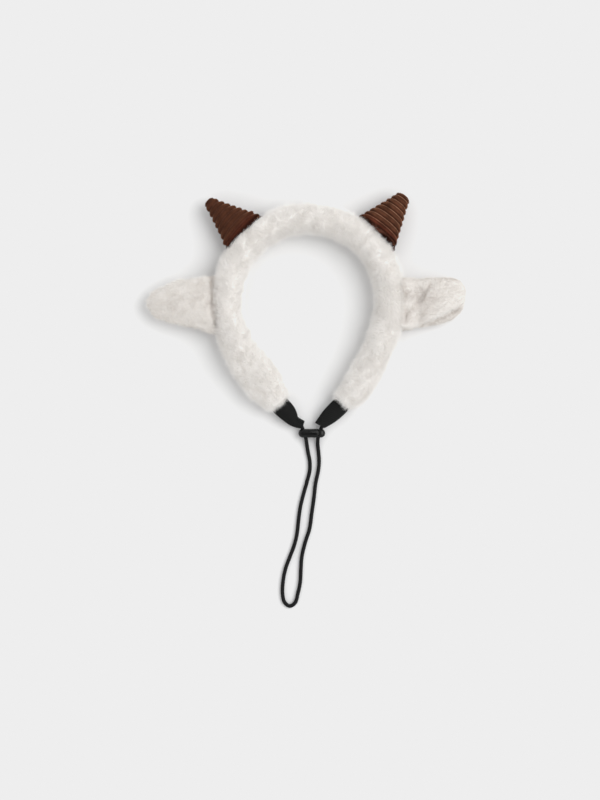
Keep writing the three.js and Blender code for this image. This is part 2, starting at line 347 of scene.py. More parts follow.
class NodeBench:
    """Lays out and joins the nodes of one material."""

    def __init__(self, name: str) -> None:
        """Starts a material with a bare Principled shader.

        Args:
            name: The material's name.
        """
        self.material = bpy.data.materials.new(name)
        self.material.use_nodes = True
        self.tree = self.material.node_tree
        self.tree.nodes.clear()
        self.shader = self.add("BsdfPrincipled")
        self.join(self.shader.outputs["BSDF"], self.add("OutputMaterial"), "Surface")

    def add(self, kind: str, **settings: object) -> Node:
        """Adds a shader node.

        Args:
            kind: The node's kind.
            settings: Its own settings.

        Returns:
            The node.
        """
        node = self.tree.nodes.new(f"ShaderNode{kind}")
        for key, value in settings.items():
            setattr(node, key, value)
        return node

    def join(self, source: NodeSocket, node: Node, into: str | int) -> None:
        """Links an output to one of a node's inputs."""
        self.tree.links.new(source, node.inputs[into])

    def paint(self, colour: NodeSocket) -> None:
        """Links a colour to the shader."""
        self.join(colour, self.shader, "Base Color")

    def dress(self, values: dict[str, object]) -> None:
        """Sets constant values on the shader's own sockets."""
        for name, value in values.items():
            self.shader.inputs[name].default_value = value

    def math(self, operation: str, first: NodeSocket, second: NodeSocket | float) -> NodeSocket:
        """Works out a number from two others.

        Args:
            operation: What is done with them.
            first: A linked number.
            second: Another linked number, or a constant.

        Returns:
            The result.
        """
        node = self.add("Math", operation=operation)
        self.join(first, node, 0)
        if isinstance(second, float):
            node.inputs[1].default_value = second
        else:
            self.join(second, node, 1)
        return node.outputs[0]

    def waves(self, source: NodeSocket) -> NodeSocket:
        """A number folded up to a half and back to 0 in every whole step."""
        return self.math("PINGPONG", source, 0.5)

    def chart(self, chart: Chart) -> tuple[NodeSocket, NodeSocket]:
        """Reads a surface chart.

        Args:
            chart: The chart.

        Returns:
            Its two coordinates.
        """
        parts = self.add("SeparateXYZ")
        self.join(self.add("UVMap", uv_map=chart.value).outputs["UV"], parts, 0)
        return parts.outputs["X"], parts.outputs["Y"]

    def noise(self, scale: float, detail: float) -> NodeSocket:
        """Makes noise on the piece's own coordinates.

        Args:
            scale: How dense the noise is.
            detail: How detailed it is.

        Returns:
            The noise, from 0 to 1.
        """
        node = self.add("TexNoise")
        node.inputs["Scale"].default_value = scale
        node.inputs["Detail"].default_value = detail
        self.join(self.add("TexCoord").outputs["Object"], node, "Vector")
        return node.outputs["Fac"]

    def ramp(self, source: NodeSocket, stops: Stops) -> NodeSocket:
        """Lays colours along a number.

        Args:
            source: The number.
            stops: Where on it each colour lies.

        Returns:
            The colour.
        """
        node = self.add("ValToRGB")
        elements = node.color_ramp.elements
        while len(elements) < len(stops):
            elements.new(1.0)
        for element, (position, colour) in zip(elements, stops):
            element.position = position
            element.color = (*colour, 1.0)
        self.join(source, node, 0)
        return node.outputs[0]

    def multiply(self, first: NodeSocket, second: NodeSocket) -> NodeSocket:
        """Multiplies two colours.

        Args:
            first: One colour.
            second: The other.

        Returns:
            Their product.
        """
        node = self.add("MixRGB", blend_type="MULTIPLY")
        node.inputs[0].default_value = 1.0
        self.join(first, node, 1)
        self.join(second, node, 2)
        return node.outputs[0]

    def bump(self, height: NodeSocket, strength: float, depth: float) -> None:
        """Bumps the shader's surface.

        Args:
            height: The height, from 0 to 1.
            strength: How strongly it shows.
            depth: What a height of 1 stands for.
        """
        node = self.add("Bump")
        node.inputs["Strength"].default_value = strength
        node.inputs["Distance"].default_value = depth * MM
        self.join(height, node, "Height")
        self.join(node.outputs["Normal"], self.shader, "Normal")

    def roughen(self, grain: Grain) -> NodeSocket:
        """Bumps the shader's surface by a fine noise.

        Args:
            grain: The noise and its bumps.

        Returns:
            The noise, from 0 to 1.
        """
        height = self.noise(grain.scale, grain.detail)
        self.bump(height, grain.strength, grain.depth)
        return height


@dataclass(frozen=True)
class FurFinish:
    """Off-white pile, with its tones along one axis of the strand chart and root to tip along the other; the
    dark end of that axis is painted shade of creases and folds.
    """

    # The darkest stops are reached where folds lower a strand's shade: painted shade of creases, pinches and
    # the ear's slit.
    tones_and_painted_shade: Stops = (
        (0.0, (0.40, 0.34, 0.29)),
        (0.25, (0.725, 0.686, 0.65)),
        (0.45, (0.88, 0.862, 0.838)),
        (0.65, (0.92, 0.909, 0.894)),
        (0.85, (0.935, 0.926, 0.912)),
        (1.0, (0.945, 0.938, 0.926)),
    )
    depths: Stops = ((0.0, (0.96, 0.955, 0.95)), (0.5, grey(0.99)), (1.0, grey(1.0)))

    def material(self) -> Material:
        """Mixes the finish.

        Returns:
            The strands' material.
        """
        bench = NodeBench("fur_pile")
        shade, height = bench.chart(Chart.STRAND)
        bench.paint(bench.multiply(bench.ramp(shade, self.tones_and_painted_shade), bench.ramp(height, self.depths)))
        bench.dress({"Roughness": 1.0, "Specular IOR Level": 0.0})
        return bench.material


@dataclass(frozen=True)
class SkinFinish:
    """The knitted backing that the pile grows from."""

    name: str
    shades: Stops
    knit: Grain = Grain(scale=700.0, detail=3.0, strength=0.5, depth=0.4)

    def material(self) -> Material:
        """Mixes the finish.

        Returns:
            The backing's material.
        """
        bench = NodeBench(self.name)
        bench.paint(bench.ramp(bench.roughen(self.knit), self.shades))
        bench.dress({"Roughness": 0.95, "Specular IOR Level": 0.1})
        return bench.material


@dataclass(frozen=True)
class CorduroyFinish:
    """Brown corduroy with a thin paler line in each valley, partly its base weave and partly painted
    highlight, redder where it turns in, with painted shade at the sewn edge and darker at the tip.
    """

    # The valley line's colour: the base weave, painted much paler on the right horn as a highlight.
    ground_and_highlight: Colour = (0.075, 0.031, 0.02)
    flank: Colour = (0.055, 0.0205, 0.0112)
    crest: Colour = (0.07, 0.0262, 0.0145)
    levels: tuple[float, float, float] = (0.03, 0.13, 0.4)
    # Along the length: darker at the sewn edge as painted shade, redder where the cloth turns in, darker at
    # the tip.
    turn_in_and_painted_shade: Stops = (
        (0.03, (0.45, 0.34, 0.36)),
        (0.09, (1.05, 0.78, 0.8)),
        (0.2, grey(1.0)),
        (0.9, grey(1.0)),
        (0.97, (0.5, 0.45, 0.45)),
    )
    patches: Pair = (160.0, 4.0)
    mottle: Stops = ((0.3, (0.78, 0.76, 0.75)), (0.7, (1.15, 1.12, 1.1)))
    nap: Grain = Grain(scale=2600.0, detail=2.0, strength=0.6, depth=0.25)
    sheen: Colour = (0.8, 0.38, 0.22)

    def material(self, name: str) -> Material:
        """Mixes the finish.

        Args:
            name: The material's name.

        Returns:
            The material of the cloth, or of its loose nap.
        """
        bench = NodeBench(name)
        along, wales = bench.chart(Chart.WALES)
        ribs = tuple(zip(self.levels, (self.ground_and_highlight, self.flank, self.crest)))
        colour = bench.ramp(bench.waves(wales), ribs)
        colour = bench.multiply(colour, bench.ramp(bench.noise(*self.patches), self.mottle))
        bench.paint(bench.multiply(colour, bench.ramp(along, self.turn_in_and_painted_shade)))
        bench.roughen(self.nap)
        bench.dress(
            {
                "Roughness": 0.95,
                "Specular IOR Level": 0.05,
                "Sheen Weight": 0.6,
                "Sheen Roughness": 0.4,
                "Sheen Tint": (*self.sheen, 1.0),
            }
        )
        return bench.material


@dataclass(frozen=True)
class RibbonFinish:
    """Black ribbed ribbon with a fine slanting weave."""

    ribs: Stops = ((0.0, grey(0.0005)), (0.5, (0.017, 0.0176, 0.0174)))
    hatch: Stops = ((0.0, grey(0.4)), (0.5, grey(1.5)))
    slant: float = 3.0
    hatch_strength: float = 0.4
    hatch_depth: float = 0.12

    def material(self) -> Material:
        """Mixes the finish.

        Returns:
            The ribbon's material.
        """
        bench = NodeBench("ribbon_weave")
        across, along = bench.chart(Chart.WEAVE)
        hatch = bench.waves(bench.math("ADD", bench.math("MULTIPLY", across, self.slant), along))
        bench.paint(bench.multiply(bench.ramp(bench.waves(along), self.ribs), bench.ramp(hatch, self.hatch)))
        bench.bump(hatch, self.hatch_strength, self.hatch_depth)
        bench.dress(
            {
                "Roughness": 0.7,
                "Specular IOR Level": 0.08,
                "Sheen Weight": 0.03,
                "Sheen Roughness": 0.5,
            }
        )
        return bench.material


@dataclass(frozen=True)
class ElasticFinish:
    """Black braided cover of the elastic cord."""

    yarn: Stops = ((0.05, grey(0.001)), (0.45, (0.009, 0.009, 0.0095)))
    fibres: Grain = Grain(scale=2200.0, detail=2.0, strength=0.35, depth=0.12)

    def material(self) -> Material:
        """Mixes the finish.

        Returns:
            The braid's material.
        """
        bench = NodeBench("elastic_braid")
        first, second = bench.chart(Chart.BRAID)
        yarn = bench.math("MAXIMUM", bench.waves(first), bench.waves(second))
        bench.paint(bench.ramp(yarn, self.yarn))
        bench.roughen(self.fibres)
        bench.dress({"Roughness": 0.62, "Specular IOR Level": 0.14})
        return bench.material


@dataclass(frozen=True)
class PlasticFinish:
    """Black moulded plastic with a fine satin grain."""

    patches: Pair = (420.0, 3.0)
    shades: Stops = ((0.3, grey(0.0015)), (0.7, grey(0.003)))
    gloss: Stops = ((0.3, grey(0.24)), (0.7, grey(0.36)))
    satin: Grain = Grain(scale=3500.0, detail=1.0, strength=0.15, depth=0.05)

    def material(self) -> Material:
        """Mixes the finish.

        Returns:
            The lock's material.
        """
        bench = NodeBench("lock_plastic")
        patches = bench.noise(*self.patches)
        bench.paint(bench.ramp(patches, self.shades))
        bench.join(bench.ramp(patches, self.gloss), bench.shader, "Roughness")
        bench.roughen(self.satin)
        bench.dress({"Specular IOR Level": 0.28})
        return bench.material


@dataclass(frozen=True)
class FloorFinish:
    """The plain pale floor."""

    colour: Colour = grey(0.825)

    def material(self) -> Material:
        """Mixes the finish.

        Returns:
            The floor's material.
        """
        bench = NodeBench("pale_floor")
        bench.dress({"Base Color": (*self.colour, 1.0), "Roughness": 1.0, "Specular IOR Level": 0.0})
        return bench.material


# The stage


@dataclass
class Stage:
    """Pale floor, soft light from the right and a camera straight above."""

    view_middle: Pair = (-7.28, -85.7)
    view_height: float = 685.6
    middle_height: float = 14.0
    camera_distance: float = 2000.0
    camera_sight: float = 100.0
    sensor: float = 36.0
    floor_size: float = 40000.0
    floor_cells: int = 4
    key_azimuth: float = 15.0
    key_elevation: float = 52.0
    key_softness: float = 48.0
    key_strength: float = 1.58
    fill_strength: float = 0.89
    dome: tuple[Pair, ...] = ((0.8, 1.0), (0.97, 0.4))
    bounces: int = 12
    white_clip: float = 0.855

    def build(self) -> None:
        """Makes the camera, the lights and the floor."""
        self.make_camera()
        self.make_key()
        self.make_dome()
        self.make_floor()
        self.set_film()
        cycles = bpy.context.scene.cycles
        cycles.max_bounces = self.bounces
        cycles.diffuse_bounces = self.bounces

    def set_film(self) -> None:
        """Lets the picture's whites stop at the pale floor's tone, as the floor is lit a little past it."""
        view = bpy.context.scene.view_settings
        view.view_transform = "Standard"
        view.use_curve_mapping = True
        tone = view.curve_mapping
        tone.extend = "HORIZONTAL"
        *_, combined = tone.curves
        combined.points[0].location = (0.0, 0.0)
        combined.points[1].location = (self.white_clip, self.white_clip)
        for point in combined.points:
            point.handle_type = "VECTOR"
        tone.update()

    def make_camera(self) -> None:
        """Sets the camera above the view's middle, with the picture's top towards the horns."""
        data = bpy.data.cameras.new("camera")
        data.sensor_width = self.sensor
        data.lens = self.sensor * self.camera_distance / self.view_height
        data.clip_end = self.camera_sight
        camera = bpy.data.objects.new("camera", data)
        height = self.middle_height + self.camera_distance
        camera.location = in_frame((*self.view_middle, height))
        bpy.context.scene.collection.objects.link(camera)
        bpy.context.scene.camera = camera

    def make_key(self) -> None:
        """Sets a broad key light from the right."""
        data = bpy.data.lights.new("key", "SUN")
        data.energy = self.key_strength
        data.angle = math.radians(self.key_softness)
        key = bpy.data.objects.new("key", data)
        tilt, turn = math.radians(self.key_elevation), math.radians(self.key_azimuth)
        towards = Vector((math.cos(tilt) * math.cos(turn), math.cos(tilt) * math.sin(turn), math.sin(tilt)))
        key.rotation_euler = towards.to_track_quat("Z", "Y").to_euler()
        bpy.context.scene.collection.objects.link(key)

    def make_dome(self) -> None:
        """Sets a white dome of light, darker overhead."""
        world = bpy.data.worlds.new("fill")
        world.use_nodes = True
        nodes, links = world.node_tree.nodes, world.node_tree.links
        way, height = nodes.new("ShaderNodeTexCoord"), nodes.new("ShaderNodeSeparateXYZ")
        links.new(way.outputs["Generated"], height.inputs[0])
        dome = nodes.new("ShaderNodeValToRGB")
        for element, (position, level) in zip(dome.color_ramp.elements, self.dome):
            element.position = position
            element.color = (*grey(level), 1.0)
        links.new(height.outputs["Z"], dome.inputs[0])
        background = nodes["Background"]
        links.new(dome.outputs[0], background.inputs["Color"])
        background.inputs["Strength"].default_value = self.fill_strength
        bpy.context.scene.world = world

    def make_floor(self) -> None:
        """Lays the floor under everything."""
        bm = bmesh.new()
        cells = self.floor_cells
        bmesh.ops.create_grid(bm, x_segments=cells, y_segments=cells, size=self.floor_size * MM / 2)
        piece_from("floor", bm, FloorFinish().material())


# The elastic cord and its lock


@dataclass
class ElasticCord:
    """A round elastic cord from tab to tab, through the lock, with a long free loop."""

    diameter: float = 3.2
    rings: int = 460
    sides: int = 28
    yarns: int = 4
    lay_length: float = 9.0
    yarn_height: float = 0.13
    yarn_level: float = 0.8
    route: tuple[tuple[float, ...], ...] = (
        (-6.4, -107.2, 5.3),
        (-4.95, -110.6, 4.5),
        (-3.7, -114.3, 4.4),
        (-2.4, -118.2, 4.2),
        (-1.4, -124.0, 2.6),
        (-0.3, -131.0),
        (1.2, -139.0),
        (1.1, -146.5),
        (-1.3, -156.4),
        (-4.4, -167.4),
        (-6.8, -177.1),
        (-8.4, -188.1),
        (-9.9, -201.2),
        (-12.3, -211.1),
        (-16.0, -220.9),
        (-19.6, -230.7),
        (-21.8, -241.5),
        (-22.3, -253.0),
        (-20.6, -260.0),
        (-16.0, -263.4),
        (-11.4, -260.4),
        (-9.2, -253.0),
        (-7.1, -242.8),
        (-6.5, -231.8),
        (-5.7, -220.9),
        (-2.9, -208.9),
        (0.9, -196.9),
        (2.8, -183.8),
        (4.7, -170.6),
        (6.2, -157.5),
        (8.3, -147.7),
        (9.2, -139.5),
        (8.7, -131.0),
        (8.0, -124.0, 2.6),
        (8.25, -118.2, 4.2),
        (9.5, -114.3, 4.4),
        (10.75, -110.6, 4.5),
        (12.0, -107.4, 5.3),
    )

    def centreline(self) -> np.ndarray:
        """Runs along the route, whose points without a height of their own lie on the floor.

        Returns:
            The cord's centre at each ring.
        """
        lying = self.diameter / 2 + self.yarn_height
        rows = [(x, y, height[0] if height else lying) for x, y, *height in self.route]
        return smooth_run(np.array(rows), self.rings + 1)

    def build(self, lock: Object) -> Object:
        """Args:
            lock: The piece that slides on the cord; not used.

        Returns:
            The cord's piece.
        """
        line = self.centreline()
        forward = unit(np.gradient(line, axis=0))
        across = unit(np.cross(UP, forward))
        rise = np.cross(forward, across)
        length = float(run_lengths(line)[-1])

        def lays(around: float, along: float) -> Pair:
            """Turns of the two crossing sets of yarns."""
            turn = length * along / self.lay_length
            return self.yarns * (around + turn), self.yarns * (around - turn)

        def place(around: float, along: float) -> np.ndarray:
            """Finds a point of the braid.

            Args:
                around: The share of a turn round the cord.
                along: The share of its length.

            Returns:
                The point in metres in the frame.
            """
            i = round(along * self.rings)
            crests = [abs(math.cos(math.pi * lay)) for lay in lays(around, along)]
            radius = self.diameter / 2 + self.yarn_height * (self.yarn_level - max(crests))
            angle = 2 * math.pi * around
            return in_frame(line[i] + radius * (math.cos(angle) * across[i] + math.sin(angle) * rise[i]))

        bm = laid_grid(self.sides, self.rings, place, lays, Chart.BRAID)
        close_tube(bm)
        cord = seat(piece_from("elastic_cord", bm, ElasticFinish().material()), Slot.ELASTIC, "cord")
        path = in_frame(line)
        return cord


@dataclass
class CordLock:
    """A moulded two-hole lock: a squarish barrel with a seam round one end and a long groove on top."""

    middle: tuple[float, float, float] = (2.9, -114.3, 4.4)
    length: float = 23.2
    depth: float = 7.5
    height: float = 8.5
    end_length: float = 5.6
    seam: float = 0.35
    seam_shape: tuple[Pair, ...] = ((-3.0, 0.0), (-1.0, 0.5), (0.0, 2.0), (1.0, 0.5), (2.0, 0.25))
    bore: float = 4.2
    bore_sides: int = 32
    bore_offset: float = 6.6
    bore_lean: float = 18.0
    squareness: float = 3.0
    groove_width: float = 1.5
    groove_offset: float = -0.7
    sides: int = 64
    round_steps: int = 12
    merge_reach: float = 1e-4
    edge_round: float = 0.22
    edge_steps: int = 2
    edge_angle: float = 40.0

    def profile(self) -> list[Pair]:
        """Draws the barrel's half outline.

        Returns:
            Its places along the axis with their radii.
        """
        radius, half = self.depth / 2, self.length / 2
        angles = [math.pi / 2 * i / self.round_steps for i in range(self.round_steps + 1)]
        left = [(-half + radius * (1 - math.sin(a)), radius * math.cos(a)) for a in reversed(angles)]
        middle = half - self.end_length
        gap = [(middle + along * self.seam, radius - deep * self.seam) for along, deep in self.seam_shape]
        right = [(half - radius * (1 - math.sin(a)), radius * math.cos(a)) for a in angles]
        return left + gap + right

    def fullness(self, y: float, z: float) -> float:
        """How far a point of the round section moves out, as a share, to make the section squarer."""
        power = (abs(y) ** self.squareness + abs(z) ** self.squareness) ** (1 / self.squareness)
        return math.hypot(y, z) / power if power > 0 else 1.0

    def barrel(self) -> BMesh:
        """Spins the half outline.

        Returns:
            The body, without its bores.
        """
        bm = bmesh.new()
        verts = [bm.verts.new((along, 0.0, max(radius, 0.0))) for along, radius in self.profile()]
        edges = [bm.edges.new(pair) for pair in zip(verts, verts[1:])]
        bmesh.ops.spin(
            bm,
            geom=verts + edges,
            axis=(1.0, 0.0, 0.0),
            cent=(0.0, 0.0, 0.0),
            steps=self.sides,
            angle=2 * math.pi,
            use_merge=True,
        )
        bmesh.ops.remove_doubles(bm, verts=bm.verts, dist=self.merge_reach)
        for vert in bm.verts:
            fuller = self.fullness(vert.co.y, vert.co.z)
            vert.co.y *= fuller
            vert.co.z *= fuller
        bmesh.ops.recalc_face_normals(bm, faces=bm.faces)
        bmesh.ops.scale(bm, vec=(1.0, 1.0, self.height / self.depth), verts=bm.verts)
        return bm

    def cutters(self) -> BMesh:
        """Makes the two cord bores and the long V-shaped groove.

        Returns:
            The solids to cut away.
        """
        bm = bmesh.new()
        for side in (-1, 1):
            made = bmesh.ops.create_cone(
                bm,
                cap_ends=True,
                segments=self.bore_sides,
                radius1=self.bore / 2,
                radius2=self.bore / 2,
                depth=3 * self.depth,
            )["verts"]
            lean = math.radians(side * self.bore_lean)
            axis = Vector((math.sin(lean), math.cos(lean), 0.0))
            bmesh.ops.rotate(bm, verts=made, cent=(0, 0, 0), matrix=axis.to_track_quat("Z", "X").to_matrix())
            bmesh.ops.translate(bm, verts=made, vec=(side * self.bore_offset, 0.0, 0.0))
        groove = bmesh.ops.create_cube(bm, size=1.0)["verts"]
        reach = self.length - self.end_length - self.depth / 2
        width = self.groove_width / math.sqrt(2)
        bmesh.ops.scale(bm, verts=groove, vec=(reach, width, width))
        bmesh.ops.rotate(bm, verts=groove, cent=(0, 0, 0), matrix=Matrix.Rotation(math.pi / 4, 3, "X"))
        drop = abs(2 * self.groove_offset / self.depth) ** self.squareness
        top = self.height / 2 * (1 - drop) ** (1 / self.squareness)
        bmesh.ops.translate(bm, verts=groove, vec=(-self.end_length / 2, self.groove_offset, top))
        return bm

    def placed(self, bm: BMesh) -> BMesh:
        """Moves a mesh to where the lock lies.

        Args:
            bm: The mesh, in millimetres round the lock's middle.

        Returns:
            The same mesh, in metres in the frame.
        """
        bmesh.ops.scale(bm, vec=(MM, MM, MM), verts=bm.verts)
        bmesh.ops.translate(bm, vec=in_frame(self.middle), verts=bm.verts)
        return bm

    def build(self) -> Object:
        """Makes the lock with its bores and groove.

        Returns:
            The lock's piece.
        """
        material = PlasticFinish().material()
        lock = piece_from("lock_body", self.placed(self.barrel()), material)
        cutter = piece_from("lock_cutter", self.placed(self.cutters()), material)
        cut = lock.modifiers.new("bores", "BOOLEAN")
        cut.operation = "DIFFERENCE"
        cut.object = cutter
        edge = lock.modifiers.new("edges", "BEVEL")
        edge.width = self.edge_round * MM
        edge.segments = self.edge_steps
        edge.limit_method = "ANGLE"
        edge.angle_limit = math.radians(self.edge_angle)
        apply_modifiers(lock)
        bpy.data.objects.remove(cutter)
        lock.data.shade_smooth()
        return seat(lock, Slot.LOCK, "cord_lock")


# Ribbon tabs


@dataclass
class RibbonTab:
    """A ribbon folded along its length, sewn into a band end, with the cord's end between its two layers."""

    side: Side
    rows: tuple[tuple[float, float, float, float, float], ...]
    pleats: float
    cord_at: float
    cord_spread: float = 0.28
    thickness: float = 0.5
    layer_gap: float = 0.9
    cord_room: float = 3.3
    fold_from: float = 0.93
    rib_pitch: float = 1.7
    rib_height: float = 0.14
    pleat_depth: float = 0.7
    crown: float = 2.2
    columns: int = 36
    steps: int = 140

    def build(self, material: Material) -> Object:
        """Args:
            material: The ribbon's finish.

        Returns:
            The ribbon's piece.
        """
        run = smooth_run(np.array(self.rows), self.steps + 1)
        inner, outer, heights = run[:, 0:2], run[:, 2:4], run[:, 4]
        reach = run_lengths((inner + outer) / 2)
        widths = np.linalg.norm(outer - inner, axis=1)

        def place(across: float, along: float) -> np.ndarray:
            """Finds a point of the folded ribbon: out over the top layer, round the fold and back below.

            Args:
                across: The share of the flat ribbon's width.
                along: The share of its length.

            Returns:
                The point in metres in the frame.
            """
            i = round(along * self.steps)
            share = 1 - abs(2 * across - 1)
            layer = math.copysign(1.0, 0.5 - across)
            into_fold = max(0.0, (share - self.fold_from) / (1 - self.fold_from))
            fold = math.sqrt(max(0.0, 1 - into_fold**2))
            near_cord = math.exp(-(((share - self.cord_at) / self.cord_spread) ** 2)) * along**3
            apart = (self.layer_gap + (self.cord_room - self.layer_gap) * near_cord) / 2
            rib = self.rib_height * abs(math.sin(math.pi * reach[i] / self.rib_pitch))
            pleat = self.pleat_depth * math.sin(2 * math.pi * self.pleats * share) * along**2
            point = inner[i] + (outer[i] - inner[i]) * share
            arch = self.crown * (0.5 - (2 * share - 1) ** 2)
            return in_frame((*point, heights[i] + layer * fold * (apart + rib) + pleat + arch))

        def weave(across: float, along: float) -> Pair:
            """Ribs along the chart's height and the ribbon's width across it."""
            i = round(along * self.steps)
            return 2 * across * float(widths.max()) / self.rib_pitch, reach[i] / self.rib_pitch

        bm = laid_grid(self.columns, self.steps, place, weave, Chart.WEAVE)
        bmesh.ops.recalc_face_normals(bm, faces=bm.faces)
        bmesh.ops.solidify(bm, geom=bm.verts[:] + bm.edges[:] + bm.faces[:], thickness=self.thickness * MM)
        bmesh.ops.recalc_face_normals(bm, faces=bm.faces)
        name = f"tab_{self.side.value}"
        ribbon = seat(piece_from(f"ribbon_{self.side.value}", bm, material), Slot.RIBBON, name)
        return ribbon


# Padded skins


@dataclass(frozen=True)
class Fold:
    """A ridge, or a furrow where its rise is below zero, along a line on the upper side of a skin; its shade
    darkens the fur along it as painted shade.
    """

    line: tuple[Pair, ...]
    rise: float
    width: float
    # How much darker the fur along the fold is painted, as the shade of the crease.
    shade: float = 0.0
    turn: float = 0.3

    def nearness(self, points: np.ndarray, normals: np.ndarray) -> np.ndarray:
        """Measures how near the points of a skin lie to the fold in plan.

        Args:
            points: The points.
            normals: The skin's normals there, which have to face up or only a little down.

        Returns:
            The nearness of each point, from 0 to 1.
        """
        away = np.full(len(points), np.inf)
        for start, end in zip(np.array(self.line), np.array(self.line[1:])):
            run = end - start
            share = np.clip((points[:, :2] - start) @ run / (run @ run), 0.0, 1.0)
            away = np.minimum(away, np.linalg.norm(points[:, :2] - start - share[:, None] * run, axis=1))
        return np.exp(-((away / self.width) ** 2)) * np.clip(normals[:, 2] + self.turn, 0.0, 1.0)


@dataclass
class PaddedSkin:
    """The stuffed backing inside a piece's fur, swollen by a cloth simulation."""

    node: str
    inset: float
    under_inset: float
    rim_inset: float
    voxel: float
    seed: int
    folds: tuple[Fold, ...]
    sewn_to: BVHTree | None = None
    sewn_reach: float = 0.8
    sewn_depth: float = 4.3
    lump: float = 0.65
    lump_length: float = 13.0
    lump_height: float = 6.0
    curl: float = 0.0
    curl_length: float = 9.0
    pressure: float = 4.0
    swell_cap: float = 1.0
    sim_steps: int = 20
    fill: float = 0.6
    piece: Object | None = field(default=None, init=False)

    def inset_copy(self) -> Mesh:
        """Copies the piece's outer form, drawn in by the depth of its fur.

        Returns:
            The copy, whose sewn end reaches into the piece that it is sewn to.
        """
        bm = bmesh.new()
        bm.from_mesh(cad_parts[self.node].data)
        bmesh.ops.remove_doubles(bm, verts=bm.verts, dist=MERGE_REACH)
        bm.normal_update()
        for vert in bm.verts:
            facing = vert.normal.z
            depth = self.inset if facing > 0 else self.under_inset
            depth = self.rim_inset + (depth - self.rim_inset) * facing * facing
            place = vert.co - vert.normal * depth * MM
            if self.sewn_to is not None:
                near, normal, _, away = self.sewn_to.find_nearest(vert.co)
                if away < self.sewn_reach * MM:
                    place = near - normal * self.sewn_depth * MM
            vert.co = place
        return mesh_from(f"{self.node}_pad", bm)

    def build(self, material: Material) -> Object:
        """Args:
            material: The backing's finish.

        Returns:
            The skin's piece.
        """
        self.piece = piece_of(f"{self.node}_pad", self.inset_copy())
        remesh = self.piece.modifiers.new("even", "REMESH")
        remesh.mode = "VOXEL"
        remesh.voxel_size = self.voxel * MM
        apply_modifiers(self.piece)
        self.swell()
        self.shape()
        smooth = self.piece.modifiers.new("smooth", "SUBSURF")
        smooth.levels = smooth.render_levels = 1
        apply_modifiers(self.piece)
        self.piece.data.shade_smooth()
        wear(self.piece.data, material)
        seat(self.piece, Slot.FUR, self.node)
        return self.piece

    def swell(self) -> None:
        """Blows the skin up as stuffed cloth, with each point's travel capped."""
        rest = corners(self.piece.data)
        cloth = self.piece.modifiers.new("stuffing", "CLOTH")
        cloth.settings.use_pressure = True
        cloth.settings.uniform_pressure_force = self.pressure
        cloth.settings.effector_weights.gravity = 0.0
        cloth.point_cache.frame_start = 1
        cloth.point_cache.frame_end = self.sim_steps
        for step in range(1, self.sim_steps + 1):
            bpy.context.scene.frame_set(step)
        swollen = evaluated_mesh(self.piece)
        travel = corners(swollen) - rest
        bpy.data.meshes.remove(swollen)
        self.piece.modifiers.clear()
        bpy.context.scene.frame_set(1)
        far = np.linalg.norm(travel, axis=1, keepdims=True)
        log.info("%s swelled by up to %.2f mm", self.piece.name, far.max() / MM)
        travel *= np.minimum(1.0, self.swell_cap * MM / np.maximum(far, TINY))
        self.piece.data.vertices.foreach_set("co", (rest + travel).ravel())
        self.piece.data.update()

    def shape(self) -> None:
        """Adds the uneven lumps of the stuffing and the folds."""
        mesh = self.piece.data
        points, normals = from_ring(corners(mesh)), vertex_normals(mesh)
        push = self.lump * SoftWaves(self.seed, self.lump_length).value(points)
        push += self.curl * self.curls(points)
        for fold in self.folds:
            push += fold.rise * fold.nearness(points, normals)
        push *= np.clip(points[:, 2] / self.lump_height, 0.0, 1.0)
        mesh.vertices.foreach_set("co", in_frame(points + normals * push[:, None]).ravel())
        mesh.update()

    def curls(self, points: np.ndarray) -> np.ndarray:
        """The small waves that the skin and its pile share, mostly between -1 and 1."""
        return SoftWaves(self.seed + 1, self.curl_length).value(points)


# Fur


class SoftWaves:
    """Smooth seeded noise made of a few plane waves."""

    count = 9
    spread = (0.6, 1.5)

    def __init__(self, seed: int, wavelength: float) -> None:
        """Draws the waves.

        Args:
            seed: The seed of the random numbers.
            wavelength: The middle one of the waves' lengths.
        """
        rng = np.random.default_rng(seed)
        ways = unit(rng.normal(size=(self.count, 3)))
        self.ways = ways * (2 * math.pi / wavelength) * rng.uniform(*self.spread, (self.count, 1))
        self.starts = rng.uniform(0, 2 * math.pi, self.count)

    def value(self, points: np.ndarray) -> np.ndarray:
        """The noise at each point, mostly between -1 and 1."""
        return np.sin(points @ self.ways.T + self.starts).sum(axis=1) / math.sqrt(self.count)


